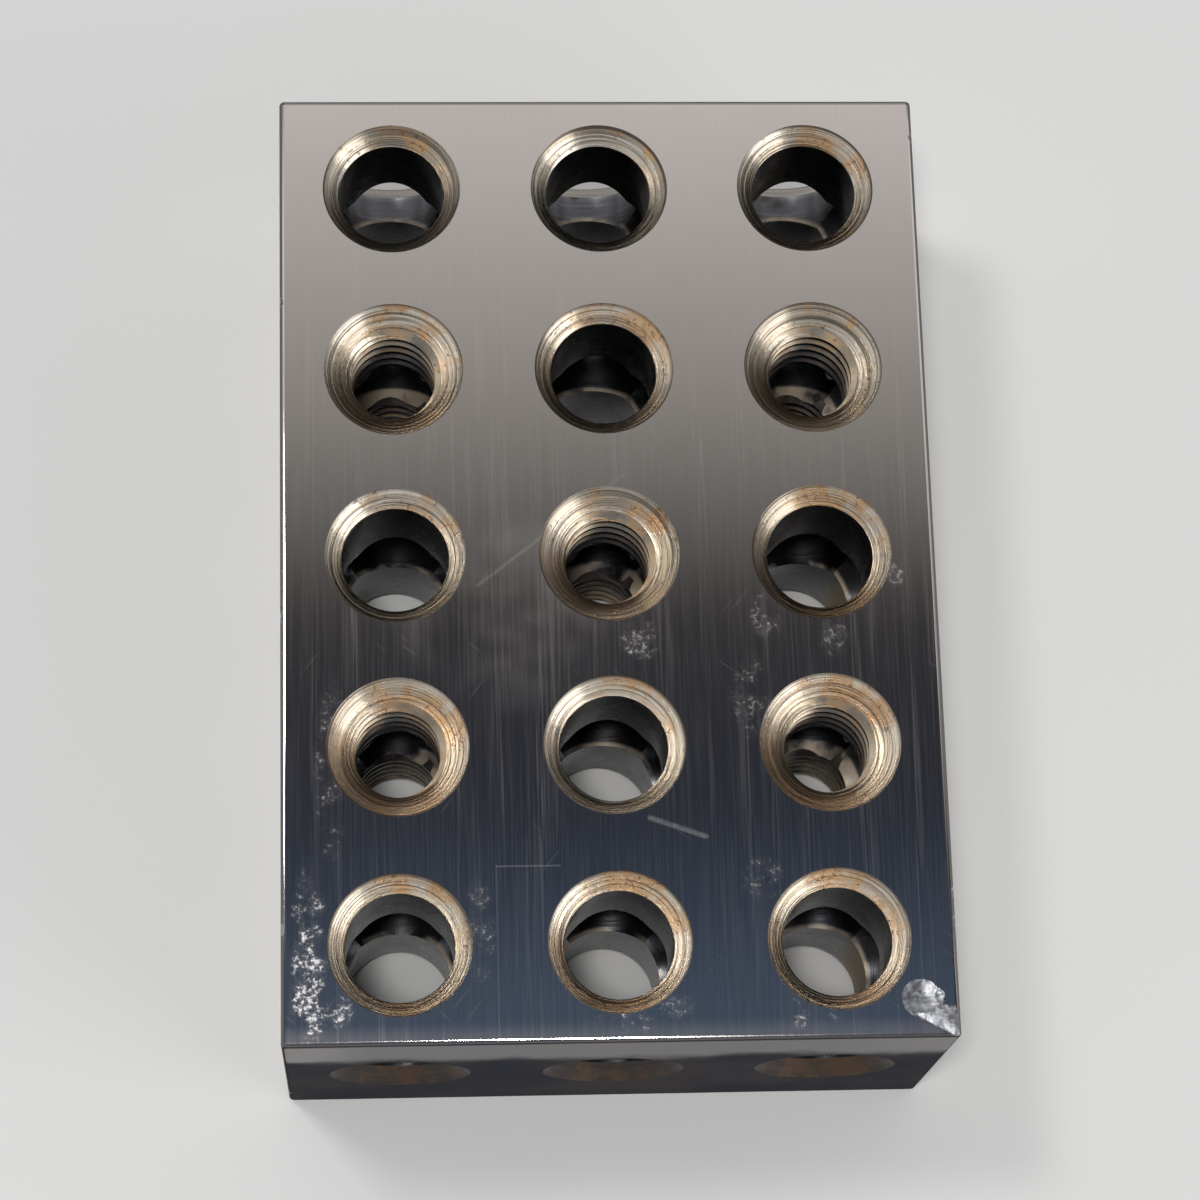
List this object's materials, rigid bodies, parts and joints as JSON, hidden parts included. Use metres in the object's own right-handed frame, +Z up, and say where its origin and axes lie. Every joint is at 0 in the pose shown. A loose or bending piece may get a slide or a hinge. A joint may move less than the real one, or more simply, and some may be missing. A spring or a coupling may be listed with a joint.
{
  "type": "machinist setup block",
  "caption": "Rectangular ground steel setup block with countersunk clearance and tapped holes through all three directions, for squaring, spacing and bolting up work.",
  "frame": {"origin": "centre of the bottom 2 x 3 inch face", "axes": "+X across the 2 inch width, +Y along the 3 inch length away from the camera, +Z up through the 1 inch thickness"},
  "size_m": [0.0508, 0.0762, 0.0254],
  "materials": {
    "ground_steel": "ground faces with fine lengthwise lines, brown heat and rust tints in the holes"
  },
  "bodies": {
    "root": {"setup_block": "ground_steel"}
  },
  "joints": []
}
